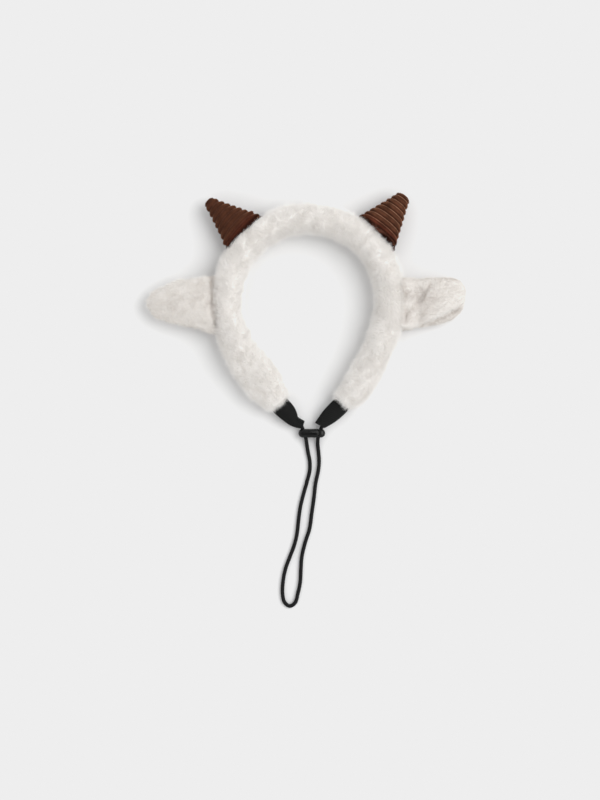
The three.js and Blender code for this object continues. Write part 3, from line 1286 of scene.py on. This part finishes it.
@dataclass
class Fibres:
    """Straight fibres, each by its root and tip in millimetres from the ring's middle."""

    root: np.ndarray
    tip: np.ndarray
    radius: np.ndarray

    faces = ((0, 2, 1), (0, 1, 3), (1, 2, 3), (2, 0, 3))
    steep = 0.8

    def corner_points(self) -> np.ndarray:
        """Finds every fibre's three root corners and its tip, none below the floor.

        Returns:
            The points, four to a fibre.
        """
        way = unit(self.tip - self.root)
        helper = np.where(np.abs(way[:, 2:]) < self.steep, UP, (1.0, 0.0, 0.0))
        first = unit(np.cross(way, helper))
        second = np.cross(way, first)
        points = np.empty((len(self.root), 4, 3))
        for corner in range(3):
            angle = 2 * math.pi * corner / 3
            out = first * math.cos(angle) + second * math.sin(angle)
            points[:, corner] = self.root + out * self.radius[:, None]
        points[:, 3] = self.tip
        points[:, :, 2] = np.maximum(points[:, :, 2], FLOOR_CLEARANCE)
        return points

    def joined(self, name: str, charts: np.ndarray, chart_name: Chart, material: Material) -> Object:
        """Joins the fibres in one mesh, each as a closed three-sided spike.

        Args:
            name: The piece's name.
            charts: The chart's coordinates at each fibre's three root corners and its tip.
            chart_name: The chart that keeps them.
            material: The fibres' finish.

        Returns:
            The piece.
        """
        count = len(self.root)
        pattern = np.array(self.faces).ravel()
        mesh = bpy.data.meshes.new(name)
        mesh.vertices.add(count * 4)
        mesh.vertices.foreach_set("co", in_frame(self.corner_points().reshape(-1, 3)).ravel())
        mesh.loops.add(count * len(pattern))
        index = (4 * np.arange(count)[:, None] + pattern).ravel()
        mesh.loops.foreach_set("vertex_index", index.astype(np.int32))
        mesh.polygons.add(len(index) // 3)
        mesh.polygons.foreach_set("loop_start", np.arange(0, len(index), 3, dtype=np.int32))
        layer = mesh.uv_layers.new(name=chart_name.value)
        layer.data.foreach_set("uv", charts[:, pattern].astype(np.float32).ravel())
        mesh.update(calc_edges=True)
        mesh.validate()
        mesh.shade_flat()
        wear(mesh, material)
        return piece_of(name, mesh)


@dataclass
class Strands(Fibres):
    """Fur strands, each with a shade from 0 for dark to 1 for pale: their tone, lowered along folds as
    painted shade.
    """

    shade: np.ndarray

    shade_from = 0.005
    shade_span = 0.97
    corner_shades = (0.0, 0.008, 0.016, 0.008)
    corner_heights = (0.01, 0.01, 0.01, 0.99)

    def chosen(self, keep: np.ndarray) -> "Strands":
        """The strands that a mask keeps."""
        return Strands(self.root[keep], self.tip[keep], self.radius[keep], self.shade[keep])

    def piece(self, name: str, material: Material) -> Object:
        """Joins the strands, charted by shade one way and from root to tip the other.

        Args:
            name: The piece's name.
            material: The strands' finish.

        Returns:
            The piece.
        """
        charts = np.empty((len(self.root), 4, 2))
        shades = self.shade_from + self.shade_span * self.shade[:, None]
        charts[:, :, 0] = shades + np.array(self.corner_shades)
        charts[:, :, 1] = self.corner_heights
        return self.joined(name, charts, Chart.STRAND, material)


@dataclass(frozen=True)
class FurPile:
    """How the fur grows: strands gather in tufts that lean over with the comb."""

    strands_per_mm2: float
    length: float
    lean: float
    tone: float
    tuft_tone: float
    seed: int
    tuft_spacing: float = 3.6
    radius: float = 0.12
    radius_range: Pair = (0.7, 1.25)
    tuft_range: Pair = (0.88, 1.1)
    strand_range: Pair = (0.62, 1.18)
    lean_spread: float = 6.0
    strand_lean: float = 0.2
    clump: float = 0.12
    clump_range: Pair = (0.3, 1.2)
    tuft_stray: float = 0.25
    stray: float = 0.4
    under_facing: float = -0.6
    under_share: float = 0.3
    comb: tuple[float, float, float] = (0.0, 0.0, 0.0)
    ring_comb: float = 0.0
    swirl: float = 0.35
    swirl_length: float = 26.0
    swirl_seed: int = 11
    curl: float = 0.09
    strand_tone: float = 0.04
    patch_tone: float = 0.04
    patch_length: float = 22.0
    patch_seed: int = 29

    def scatter(
        self, mesh: Mesh, per_mm2: float, rng: np.random.Generator
    ) -> tuple[np.ndarray, np.ndarray]:
        """Random places over a skin, fewer below.

        Args:
            mesh: The skin.
            per_mm2: Places for each square millimetre.
            rng: The random numbers.

        Returns:
            The places in millimetres from the ring's middle, and the normals there.
        """
        mesh.calc_loop_triangles()
        triangles = triples(mesh.loop_triangles, "vertices", np.int32)
        points, normals = from_ring(corners(mesh)), vertex_normals(mesh)
        a, b, c = (points[triangles[:, k]] for k in range(3))
        cross = np.cross(b - a, c - a)
        area = np.linalg.norm(cross, axis=1) / 2
        weight = area * np.where(unit(cross)[:, 2] < self.under_facing, self.under_share, 1.0)
        count = round(weight.sum() * per_mm2)
        reach = np.cumsum(weight)
        at = (np.arange(count) + rng.random(count)) / count * reach[-1]
        which = np.minimum(np.searchsorted(reach, at), len(triangles) - 1)
        first, second = rng.random((2, count, 1))
        flip = first + second > 1
        first, second = np.where(flip, 1 - first, first), np.where(flip, 1 - second, second)
        shares = (1 - first - second, first, second)
        spots = sum(share * points[triangles[which, k]] for k, share in enumerate(shares))
        ways = sum(share * normals[triangles[which, k]] for k, share in enumerate(shares))
        return spots, unit(ways)

    def combed(self, points: np.ndarray, normals: np.ndarray) -> np.ndarray:
        """Finds the way in which the fur lies along the skin.

        Args:
            points: Places on the skin.
            normals: Its normals there.

        Returns:
            The way at each place, one unit long.
        """
        swirls = [SoftWaves(self.seed + self.swirl_seed + k, self.swirl_length) for k in range(3)]
        swirl = np.column_stack([waves.value(points) for waves in swirls])
        round_ring = unit(points[:, [1, 0, 2]] * (1.0, -1.0, 0.0))
        way = np.array(self.comb) + self.ring_comb * round_ring + self.swirl * swirl
        return along_skin(way, normals)

    def grow(self, skin: PaddedSkin) -> Strands:
        """Grows the pile on a skin.

        Args:
            skin: The padded skin.

        Returns:
            The strands, in tufts.
        """
        rng = np.random.default_rng(self.seed)
        mesh = skin.piece.data
        tufts, tuft_normals = self.scatter(mesh, 1 / self.tuft_spacing**2, rng)
        roots, normals = self.scatter(mesh, self.strands_per_mm2, rng)
        tree = KDTree(len(tufts))
        for i, tuft in enumerate(tufts):
            tree.insert(tuft, i)
        tree.balance()
        of = np.array([tree.find(root)[1] for root in roots])
        way = self.combed(tufts, tuft_normals) + rng.normal(0.0, self.tuft_stray, tufts.shape)
        way = along_skin(way, tuft_normals)
        tilt = np.radians(rng.normal(self.lean, self.lean_spread, len(tufts)))
        pile = self.length * rng.uniform(*self.tuft_range, len(tufts))
        tuft_tips = tufts + self.reach(tuft_normals, way, tilt, pile)
        own_pile = pile[of] * rng.uniform(*self.strand_range, len(roots))
        own_pile *= 1 + self.curl * skin.curls(roots)
        own_tilt = tilt[of] + rng.normal(0.0, self.strand_lean, len(roots))
        shade = self.tone + rng.normal(0.0, self.tuft_tone, len(tufts))[of]
        shade += rng.normal(0.0, self.strand_tone, len(roots))
        shade += self.patch_tone * SoftWaves(self.seed + self.patch_seed, self.patch_length).value(roots)
        # Folds paint shade: strands along a crease are darkened, and shortened.
        for fold in skin.folds:
            near = fold.shade * fold.nearness(roots, normals)
            shade -= near
            own_pile *= 1 - near
        own_way = unit(way[of] + rng.normal(0.0, self.stray, roots.shape))
        tips = roots + self.reach(normals, own_way, own_tilt, own_pile)
        tips += (tuft_tips[of] - tips) * self.clump * rng.uniform(*self.clump_range, (len(roots), 1))
        radius = self.radius * rng.uniform(*self.radius_range, len(roots))
        return Strands(roots, tips, radius, np.clip(shade, 0.0, 1.0))

    @staticmethod
    def reach(normals: np.ndarray, ways: np.ndarray, tilt: np.ndarray, length: np.ndarray) -> np.ndarray:
        """A step of a length from the skin, tilted from its normal along the lie of the fur."""
        return (normals * np.cos(tilt)[:, None] + ways * np.sin(tilt)[:, None]) * length[:, None]


# Corduroy horns


@dataclass
class Horn:
    """A stuffed flattened cone of corduroy, rolled from a sector so that its wales bow towards the tip."""

    side: Side
    base: Pair
    heading: float
    length: float
    half_width: float
    finish: CorduroyFinish
    seed: int
    edge: float
    side_tuck: float
    top_ridge: float
    half_height: float = 10.5
    least_size: float = 0.1
    apex: float = 51.4
    tip_round: float = 6.0
    rise: float = 13.5
    root_depth: float = 2.4
    root_reach: float = 14.0
    root_steps: int = 18
    slant: float = 0.12
    fur_clearance: float = 4.5
    under_turn: float = 0.4
    ragged: float = 0.3
    ragged_seed: int = 7
    hem: float = 0.0
    hem_at: float = 6.6
    hem_width: float = 1.5
    pitch: float = 4.7
    wale_shift: float = 0.3
    ridge: float = 2.1
    ridge_shape: float = 0.9
    bow: float = 0.2
    collar_rise: float = 2.4
    collar_width: float = 6.0
    collar_share: float = 0.8
    around: int = 112
    along: int = 132
    fill: float = 0.8
    nap_count: int = 5200
    nap_length: float = 0.75
    nap_range: Pair = (0.5, 1.2)
    nap_radius: float = 0.11
    nap_bias: float = 1.2
    nap_lean: float = 0.35
    nap_stray: float = 0.4
    nap_sink: float = 0.1
    tip_margin: float = 0.4
    fray_count: int = 420
    fray_length: float = 2.2
    fray_from: float = 0.2
    fray_span: float = 1.4
    fray_lean: float = 1.3
    probe: float = 0.02
    starts: list[float] = field(default_factory=list, init=False)

    @property
    def name(self) -> str:
        """The horn's node."""
        return f"horn_{self.side.value}"

    def axes(self) -> tuple[np.ndarray, np.ndarray, np.ndarray]:
        """Finds the horn's own directions.

        Returns:
            The ways along its axis, across it and up.
        """
        turn = math.radians(self.heading)
        forward = np.array((math.cos(turn), math.sin(turn), 0.0))
        across = np.array((-math.sin(turn), math.cos(turn), 0.0))
        return forward, across, np.array(UP)

    def section(self, along: float) -> Pair:
        """Measures the flattened cone, with its tip rounded off.

        Args:
            along: The distance along the axis.

        Returns:
            The half width and the half height there.
        """
        body_end = self.length - self.tip_round
        body = min(along, body_end)
        taper = self.half_width * (1 - body / self.apex)
        flat = self.half_height / self.half_width
        roundness = flat + (1 - flat) * max(0.0, body) / self.length
        over = min(1.0, max(0.0, along - body_end) / self.tip_round)
        shrink = math.sqrt(max(0.0, 1 - over * over))
        return taper * shrink, taper * roundness * shrink

    def phase(self, angle: float, along: float) -> float:
        """Counts the wales between the cone's apex and a point of the cloth.

        Args:
            angle: The point's angle round the axis.
            along: Its distance along the axis.

        Returns:
            The number of wales, with a share of the last one.
        """
        from_top = angle - math.pi / 2
        rolled = math.atan2(math.sin(from_top), math.cos(from_top)) * self.bow
        return (self.apex - along) * math.cos(rolled) / self.pitch + self.wale_shift

    def point(self, angle: float, along: float) -> np.ndarray:
        """Finds a point of the cloth, on its ridges and valleys.

        Args:
            angle: The point's angle round the axis.
            along: Its distance along the axis.

        Returns:
            The point in millimetres from the ring's middle.
        """
        forward, across, up = self.axes()
        width, height = self.section(along)
        crest = abs(math.sin(math.pi * self.phase(angle, along))) ** self.ridge_shape
        flattened = (1 - self.top_ridge) * max(0.0, math.sin(angle)) ** 2
        capped = min(1.0, max(0.0, self.length - along) / self.tip_round)
        drop = self.ridge * capped * (1 - flattened) * (1 - crest)
        drop -= self.hem * math.exp(-(((along - self.hem_at) / self.hem_width) ** 2))
        size = math.hypot(width * math.cos(angle), height * math.sin(angle))
        keep = max(0.0, 1 - drop / max(size, MERGE_REACH))
        base = np.array((*self.base, self.rise))
        out = across * width * math.cos(angle) + up * height * math.sin(angle)
        return base + forward * along + keep * out

    def inside(self, points: np.ndarray, margin: float) -> np.ndarray:
        """Finds which points lie in the horn, from its sewn edge to its tip.

        Args:
            points: The points.
            margin: How far outside a point still counts.

        Returns:
            A mask of the points.
        """
        forward, across, up = self.axes()
        from_base = points - np.array((*self.base, self.rise))
        along = from_base @ forward
        sizes = np.maximum(np.array([self.section(step) for step in along]), self.least_size) + margin
        over, above = from_base @ across / sizes[:, 0], from_base @ up / sizes[:, 1]
        turns = np.arctan2(above, over) / (2 * math.pi) % 1.0
        starts = np.array(self.starts)[np.rint(turns * self.around).astype(int)]
        return (over**2 + above**2 < 1) & (along > starts) & (along < self.length)

    def roots(self, band: BVHTree) -> list[float]:
        """Finds where the cloth starts: a little way in under the band's fur, and deep in it below.

        Args:
            band: The band's outer form.

        Returns:
            The distance along the axis for each step round.
        """
        starts = []
        rng = np.random.default_rng(self.seed + self.ragged_seed)
        for step in range(self.around):
            angle = 2 * math.pi * step / self.around
            low, high = -self.root_reach, self.root_reach
            for _ in range(self.root_steps):
                along = (low + high) / 2
                spot = Vector(in_frame(self.point(angle, along)))
                near, normal, _, _ = band.find_nearest(spot)
                inside = (spot - near).dot(normal) < -self.root_depth * MM
                low, high = (along, high) if inside else (low, along)
            edge = self.edge + self.slant * self.half_width * math.cos(angle)
            edge += rng.normal(0.0, self.ragged)
            under = min(1.0, max(0.0, -math.sin(angle) / self.under_turn))
            edge -= self.side_tuck * math.cos(angle) ** 2 + self.root_reach * under
            starts.append(max(high, edge))
        return [*starts, starts[0]]

    def collar(self) -> Fold:
        """Finds the ridge of fur that the band raises along the horn's sewn edge.

        Returns:
            The ridge.
        """
        forward, across, _ = self.axes()
        half = self.collar_share * self.half_width * (across + self.slant * forward)[:2]
        ends = (np.array(self.base) - half, np.array(self.base) + half)
        return Fold(tuple(tuple(end) for end in ends), rise=self.collar_rise, width=self.collar_width)

    def build(self, band: BVHTree) -> None:
        """Makes the horn's cloth and its loose nap.

        Args:
            band: The band's outer form, which the horn is sewn to.
        """
        self.starts = self.roots(band)

        def spot(around: float, along: float) -> Pair:
            """Angle and distance along the axis for shares of the grid."""
            start = self.starts[round(around * self.around)]
            return 2 * math.pi * around, start + (self.length - start) * along

        def place(around: float, along: float) -> np.ndarray:
            """A point of the cloth in the frame."""
            return in_frame(self.point(*spot(around, along)))

        def wales(around: float, along: float) -> Pair:
            """Share of the length from the sewn edge and wales from the apex."""
            angle, reach = spot(around, along)
            return reach / self.length, self.phase(angle, reach)

        bm = laid_grid(self.around, self.along, place, wales, Chart.WALES)
        close_tube(bm)
        cloth = self.finish.material(f"corduroy_{self.side.value}")
        horn = seat(piece_from(f"{self.name}_cloth", bm, cloth), Slot.CORDUROY, self.name)
        seat(self.nap(self.finish.material(f"nap_{self.side.value}")), Slot.CORDUROY)

    def outward(self, angle: float, along: float) -> np.ndarray:
        """Finds the way out of the cloth at a point.

        Args:
            angle: The point's angle round the axis.
            along: Its distance along the axis.

        Returns:
            The cloth's normal there.
        """
        here = self.point(angle, along)
        round_way = self.point(angle + self.probe, along) - here
        return unit(np.cross(round_way, self.point(angle, along + self.probe) - here))

    def nap(self, material: Material) -> Object:
        """Short loose fibres over the cloth, and longer frayed ones along its sewn edge.

        Args:
            material: The nap's finish.

        Returns:
            The piece that joins them.
        """
        rng = np.random.default_rng(self.seed)
        forward = self.axes()[0]
        roots, ways, phases = [], [], []
        total = self.nap_count + self.fray_count
        for i in range(total):
            frayed = i >= self.nap_count
            angle = 2 * math.pi * rng.random()
            start = self.starts[round(angle / (2 * math.pi) * self.around)]
            reach = rng.random() ** self.nap_bias * (self.length - start - self.tip_margin)
            if frayed:
                reach = self.fray_from + self.fray_span * rng.random()
            along = start + reach
            out = self.outward(angle, along)
            lean = -forward * (self.fray_lean if frayed else self.nap_lean)
            roots.append(self.point(angle, along) - out * self.nap_sink)
            ways.append(unit(out + lean + rng.normal(0.0, self.nap_stray, 3)))
            phases.append((along / self.length, self.phase(angle, along)))
        lengths = np.where(np.arange(total) < self.nap_count, self.nap_length, self.fray_length)
        lengths = lengths * rng.uniform(*self.nap_range, total)
        root = np.array(roots)
        fibres = Fibres(root, root + np.array(ways) * lengths[:, None], np.full(total, self.nap_radius))
        charts = np.repeat(np.array(phases)[:, None], 4, axis=1)
        return fibres.joined(f"{self.name}_nap", charts, Chart.WALES, material)


# The headband


def ribbon_tabs() -> list[RibbonTab]:
    """Lists the two ribbon tabs, whose rows have the inner edge, the outer edge and the height.

    Returns:
        The tabs.
    """
    left = RibbonTab(
        Side.LEFT,
        rows=(
            (-19.6, -83.0, -31.6, -94.2, 11.2),
            (-17.6, -85.6, -29.5, -96.7, 11.0),
            (-12.6, -91.6, -23.7, -101.9, 10.0),
            (-10.2, -97.2, -17.2, -106.7, 8.2),
            (-9.4, -100.2, -13.2, -108.7, 7.0),
            (-6.4, -102.5, -9.2, -109.9, 6.0),
            (-3.4, -104.2, -5.4, -110.4, 5.4),
        ),
        pleats=2.2,
        cord_at=0.7,
    )
    right = RibbonTab(
        Side.RIGHT,
        rows=(
            (24.2, -82.6, 35.6, -91.0, 11.2),
            (22.3, -84.9, 33.9, -93.3, 11.0),
            (13.5, -94.4, 27.4, -100.0, 10.0),
            (8.8, -100.9, 20.4, -105.6, 7.6),
            (5.8, -105.5, 13.4, -109.6, 5.6),
        ),
        pleats=1.0,
        cord_at=0.76,
    )
    return [left, right]


def corduroy_horns() -> list[Horn]:
    """Lists the two horns, the right one with pale valley lines and dark flanks painted as the highlight and
    shade of its ridges lit from the right.

    Returns:
        The horns.
    """
    left = Horn(
        Side.LEFT,
        base=(-55.9, 57.9),
        heading=138.4,
        length=41.4,
        half_width=20.6,
        finish=CorduroyFinish(),
        seed=51,
        edge=1.25,
        side_tuck=1.5,
        top_ridge=0.25,
        hem=0.9,
    )
    # Painted light: the right horn's pale valley lines and dark flanks stand for the light and shade on its
    # ridges.
    painted_highlight_finish = CorduroyFinish(
        ground_and_highlight=(0.27, 0.14, 0.09),
        flank=(0.036, 0.0125, 0.0068),
        crest=(0.085, 0.033, 0.0185),
        mottle=((0.32, (0.62, 0.59, 0.57)), (0.68, (1.38, 1.34, 1.3))),
    )
    right = Horn(
        Side.RIGHT,
        base=(59.6, 60.0),
        heading=52.1,
        length=37.8,
        half_width=20.0,
        finish=painted_highlight_finish,
        seed=52,
        edge=1.5,
        side_tuck=1.0,
        top_ridge=1.0,
        ridge=1.9,
        ridge_shape=0.75,
        slant=0.07,
    )
    return [left, right]


@dataclass
class Headband:
    """The whole headband, from its cord up to its fur."""

    tabs: list[RibbonTab] = field(default_factory=ribbon_tabs)
    horns: list[Horn] = field(default_factory=corduroy_horns)
    band_backing: SkinFinish = SkinFinish(
        "band_backing", ((0.3, (0.86, 0.84, 0.82)), (0.7, (0.92, 0.905, 0.89)))
    )
    ear_backing: SkinFinish = SkinFinish(
        "ear_backing", ((0.3, (0.81, 0.785, 0.757)), (0.7, (0.86, 0.838, 0.812)))
    )
    band_pile: FurPile = FurPile(3.9, 4.6, lean=28.0, tone=0.7, tuft_tone=0.025, seed=21, ring_comb=0.8)
    left_pile: FurPile = FurPile(
        4.4, 2.9, lean=54.0, tone=0.44, tuft_tone=0.02, seed=22, comb=(-1.0, -0.5, 0.0)
    )
    right_pile: FurPile = FurPile(
        4.4, 2.4, lean=58.0, tone=0.4, tuft_tone=0.02, seed=23, comb=(1.0, 0.5, 0.0)
    )

    def band_skin(self) -> PaddedSkin:
        """Lists the band's creases, whose fur is darkened as painted shade, and the collars of its horns.

        Returns:
            The band's padding.
        """
        return PaddedSkin(
            "band",
            inset=2.7,
            under_inset=2.2,
            rim_inset=1.4,
            voxel=3.0,
            seed=3,
            curl=0.3,
            folds=(
                *(horn.collar() for horn in self.horns),
                Fold(((-82.1, 19.5), (-81.4, 3.8), (-80.9, -8.3)), rise=-1.2, width=2.0, shade=0.3),
                Fold(((-80.9, -8.3), (-78.0, -21.3)), rise=-1.0, width=2.2, shade=0.16),
                Fold(((-81.6, 6.0), (-81.0, -2.0)), rise=-0.6, width=1.5, shade=0.24),
                Fold(((82.4, -9.0), (80.8, -25.0)), rise=-1.0, width=1.8, shade=0.3),
                Fold(((-58.0, -52.1), (-55.4, -57.3)), rise=-1.0, width=1.5, shade=0.2),
                Fold(((-54.5, -59.1), (-51.9, -73.1)), rise=-1.0, width=1.5, shade=0.2),
                Fold(((-45.8, -75.8), (-37.9, -79.2), (-36.2, -85.4)), rise=-1.0, width=1.5, shade=0.2),
            ),
        )

    def ear_skins(self, band_form: BVHTree) -> tuple[PaddedSkin, PaddedSkin]:
        """Lists the two ears' padding: a flat one, and a folded one with a slit. Their folds darken the fur
        at the roots, the pinch, the slit and broad patches near the root, as painted shade.

        Args:
            band_form: The band's outer form, which the ears are sewn to.

        Returns:
            The left and the right ear's padding.
        """
        left_root = ((-83.0, 19.5), (-82.4, 3.8), (-82.4, -8.3), (-79.0, -21.3))
        right_pinch = ((104.0, 12.5), (98.6, 4.0), (93.0, -3.4), (84.0, -13.0))
        left = PaddedSkin(
            "ear_left",
            inset=1.2,
            under_inset=1.2,
            rim_inset=0.2,
            voxel=1.8,
            seed=4,
            sewn_to=band_form,
            lump=0.4,
            folds=(Fold(left_root, rise=-1.2, width=2.0, shade=0.2),),
        )
        right = PaddedSkin(
            "ear_right",
            inset=1.2,
            under_inset=1.1,
            rim_inset=0.3,
            voxel=1.5,
            seed=5,
            sewn_to=band_form,
            lump=0.2,
            folds=(
                Fold(right_pinch, rise=-1.4, width=2.8, shade=0.13),
                Fold(((83.4, -9.0), (82.2, -20.0)), rise=-1.2, width=1.8, shade=0.12),
                Fold(((84.0, 4.0), (95.0, 3.0)), rise=-0.6, width=6.0, shade=0.1),
                Fold(((86.0, -19.0), (95.0, -20.0)), rise=-0.5, width=6.0, shade=0.07),
                Fold(((104.0, -21.0), (131.0, -7.0)), rise=-0.7, width=1.4, shade=0.22),
                Fold(((108.0, -22.5), (131.0, -10.5)), rise=-0.3, width=3.0, shade=0.1),
            ),
        )
        return left, right

    def band_zones(self, strands: Strands) -> dict[str, np.ndarray]:
        """Parts the band's fur by the stretch that it grows on.

        Args:
            strands: The band's strands.

        Returns:
            A mask of the strands for each piece's name.
        """
        right, round_part = strands.root[:, 0] > 0, strands.root[:, 1] > 0
        return {
            "fur_left_leg": ~right & ~round_part,
            "fur_left_round": ~right & round_part,
            "fur_right_round": right & round_part,
            "fur_right_leg": right & ~round_part,
        }

    def outside_horns(self, strands: Strands) -> Strands:
        """Leaves out the strands that grow in a horn or come too near to it.

        Args:
            strands: The band's strands.

        Returns:
            The strands that stay.
        """
        clear = np.ones(len(strands.root), bool)
        for horn in self.horns:
            clear &= ~horn.inside(strands.root, 0.0)
            clear &= ~horn.inside(strands.tip, horn.fur_clearance)
        return strands.chosen(clear)

    def build(self) -> None:
        """Makes every piece in order."""
        lock = CordLock().build()
        ElasticCord().build(lock)
        ribbon = RibbonFinish().material()
        for tab in self.tabs:
            tab.build(ribbon)
        band_form = BVHTree.FromObject(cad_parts["band"], bpy.context.evaluated_depsgraph_get())
        for horn in self.horns:
            horn.build(band_form)
        self.build_fur(band_form)

    def build_fur(self, band_form: BVHTree) -> None:
        """Makes the padded skins and their fur.

        Args:
            band_form: The band's outer form, which the ears are sewn to.
        """
        pile = FurFinish().material()
        band_backing = self.band_backing.material()
        ear_backing = self.ear_backing.material()
        band, (left, right) = self.band_skin(), self.ear_skins(band_form)
        for skin, backing in ((band, band_backing), (left, ear_backing), (right, ear_backing)):
            skin.build(backing)
        fur = self.outside_horns(self.band_pile.grow(band))
        for name, zone in self.band_zones(fur).items():
            seat(fur.chosen(zone).piece(name, pile), Slot.FUR)
        for skin, growth in ((left, self.left_pile), (right, self.right_pile)):
            seat(growth.grow(skin).piece(f"fur_{skin.node}", pile), Slot.FUR)


def main() -> None:
    """Builds the stage and the headband."""
    logging.basicConfig(level=logging.INFO, format="%(message)s")
    Stage().build()
    Headband().build()


if __name__ == "__main__":
    main()
